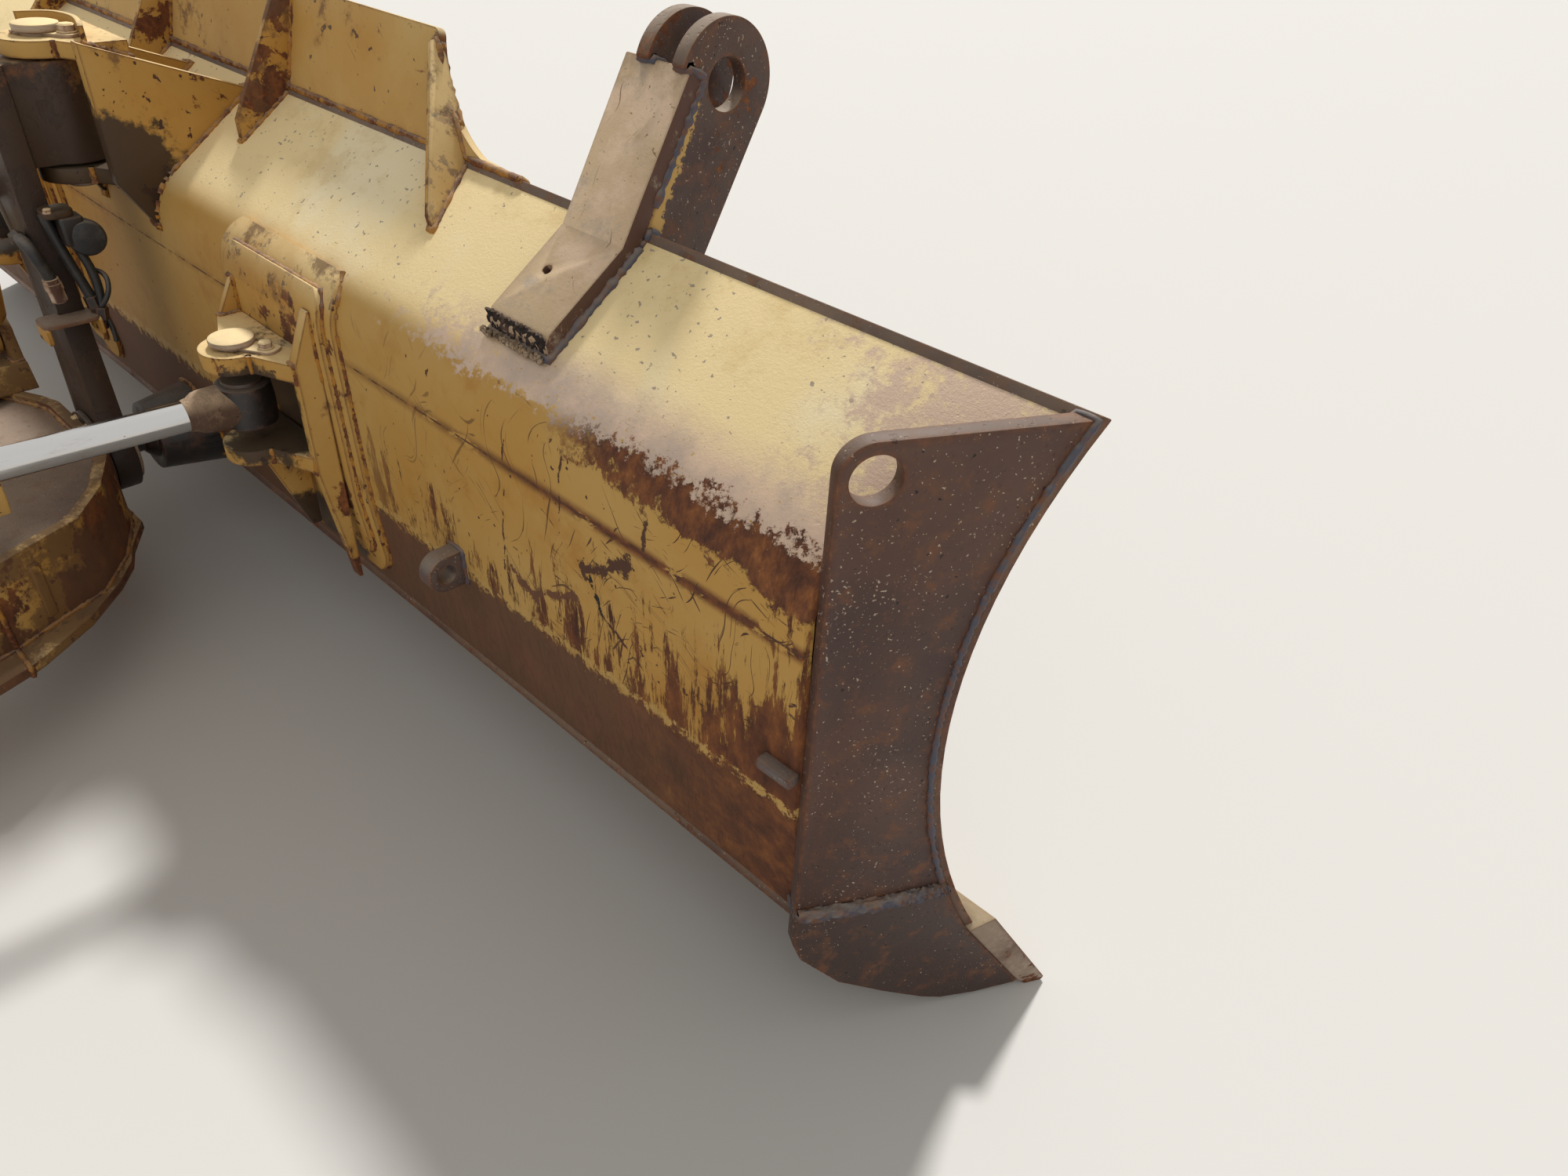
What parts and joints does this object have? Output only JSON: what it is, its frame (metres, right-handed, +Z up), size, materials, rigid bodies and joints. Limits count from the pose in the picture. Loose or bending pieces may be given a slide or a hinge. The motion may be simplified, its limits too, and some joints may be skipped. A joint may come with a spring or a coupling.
{
  "type": "bulldozer blade assembly with push frame",
  "caption": "Box-backed dozer blade with flared ends on a C-shaped push frame, with a tilt lever, a tilt cylinder and angle cylinders.",
  "frame": {"origin": "middle of the common axis of the two trunnion bores at the push frame's rear ends", "axes": "+Z up, +Y forward towards the blade, +X towards the machine's right"},
  "size_m": [3.6698, 2.058, 1.137],
  "materials": {
    "yellow_paint": "faded, dusty and scraped",
    "worn_steel": "worn bright with rust",
    "rusted_plate": "dark rust with pits",
    "bare_steel": "bare rolled plate with heat marks",
    "greased_steel": "dark and greasy",
    "chrome_rod": "polished"
  },
  "bodies": {
    "push_frame": {"frame_nose": "yellow_paint", "frame_cover": "yellow_paint", "ball_stud": "greased_steel", "ball_washer": "greased_steel", "tilt_tower": "yellow_paint", "tilt_pin": "greased_steel", "frame_arm_right": "yellow_paint", "frame_arm_left": "yellow_paint", "trunnion_eye_right": "yellow_paint", "trunnion_eye_left": "yellow_paint", "lift_lug_outer_right": "yellow_paint", "lift_lug_outer_left": "yellow_paint", "lift_lug_inner_right": "yellow_paint", "lift_lug_inner_left": "yellow_paint", "cylinder_mount_right": "yellow_paint", "cylinder_mount_left": "yellow_paint", "mount_pin_right": "greased_steel", "mount_pin_left": "greased_steel"},
    "tilt_lever": {"tilt_lever": "greased_steel"},
    "blade": {"moldboard": "worn_steel", "back_shell": "yellow_paint", "bottom_plate": "rusted_plate", "cutting_edge": "worn_steel", "center_guard": "yellow_paint", "upper_bracket": "yellow_paint", "upper_pin": "greased_steel", "ball_socket": "greased_steel", "tow_bar": "bare_steel", "tow_ear_outer": "bare_steel", "tow_ear_inner": "bare_steel", "end_bit_right": "worn_steel", "end_bit_left": "worn_steel", "end_plate_right": "rusted_plate", "end_plate_left": "rusted_plate", "end_wear_plate_right": "rusted_plate", "end_wear_plate_left": "rusted_plate", "gusset_mid_right": "yellow_paint", "gusset_mid_left": "yellow_paint", "gusset_end_right": "yellow_paint", "gusset_end_left": "yellow_paint", "angle_bracket_right": "yellow_paint", "angle_bracket_left": "yellow_paint", "angle_pin_right": "greased_steel", "angle_pin_left": "greased_steel", "eye_lug_right": "yellow_paint", "eye_lug_left": "yellow_paint"},
    "tilt_barrel": {"tilt_barrel": "yellow_paint"},
    "tilt_rod": {"tilt_rod": "chrome_rod"},
    "angle_barrel_right": {"angle_barrel_right": "yellow_paint"},
    "angle_rod_right": {"angle_rod_right": "chrome_rod"},
    "angle_barrel_left": {"angle_barrel_left": "yellow_paint"},
    "angle_rod_left": {"angle_rod_left": "chrome_rod"}
  },
  "joints": [
    {"name": "tilt", "type": "hinge", "parent": "push_frame", "child": "tilt_lever", "pos_m": [0, 1.5, -0.14], "axis": [0, 1, 0], "range_deg": [-7, 7]},
    {"name": "angle", "type": "hinge", "parent": "tilt_lever", "child": "blade", "pos_m": [0, 1.5, 0], "axis": [0, 0, 1], "range_deg": [-25, 25]},
    {"name": "tilt_barrel_swing", "type": "hinge", "parent": "push_frame", "child": "tilt_barrel", "pos_m": [-0.27, 1.325, 0.02], "axis": [0, 1, 0], "range_deg": [-8, 8]},
    {"name": "tilt_rod_slide", "type": "slide", "parent": "tilt_barrel", "child": "tilt_rod", "axis": [0.4916, 0, 0.8708], "range_m": [-0.04, 0.04]},
    {"name": "angle_barrel_swing_right", "type": "hinge", "parent": "push_frame", "child": "angle_barrel_right", "pos_m": [0.46, 0.5, 0.145], "axis": [-0.8773, 0.0764, -0.4738], "range_deg": [-5, 5]},
    {"name": "angle_rod_slide_right", "type": "slide", "parent": "angle_barrel_right", "child": "angle_rod_right", "axis": [0.0868, 0.9962, 0], "range_m": [-0.235, 0.235]},
    {"name": "angle_barrel_swing_left", "type": "hinge", "parent": "push_frame", "child": "angle_barrel_left", "pos_m": [-0.46, 0.5, 0.145], "axis": [0.8773, 0.0764, -0.4738], "range_deg": [-5, 5]},
    {"name": "angle_rod_slide_left", "type": "slide", "parent": "angle_barrel_left", "child": "angle_rod_left", "axis": [-0.0868, 0.9962, 0], "range_m": [-0.235, 0.235]}
  ],
  "couplings": [
    {"joint": "tilt_barrel_swing", "follows": "tilt", "ratio": 1.0185},
    {"joint": "tilt_rod_slide", "follows": "tilt", "m_per_rad": 0.3138},
    {"joint": "angle_barrel_swing_right", "follows": "tilt", "ratio": 0.5682},
    {"joint": "angle_rod_slide_right", "follows": "angle", "m_per_rad": 0.5279},
    {"joint": "angle_barrel_swing_left", "follows": "tilt", "ratio": 0.5682},
    {"joint": "angle_rod_slide_left", "follows": "angle", "m_per_rad": -0.5279}
  ]
}
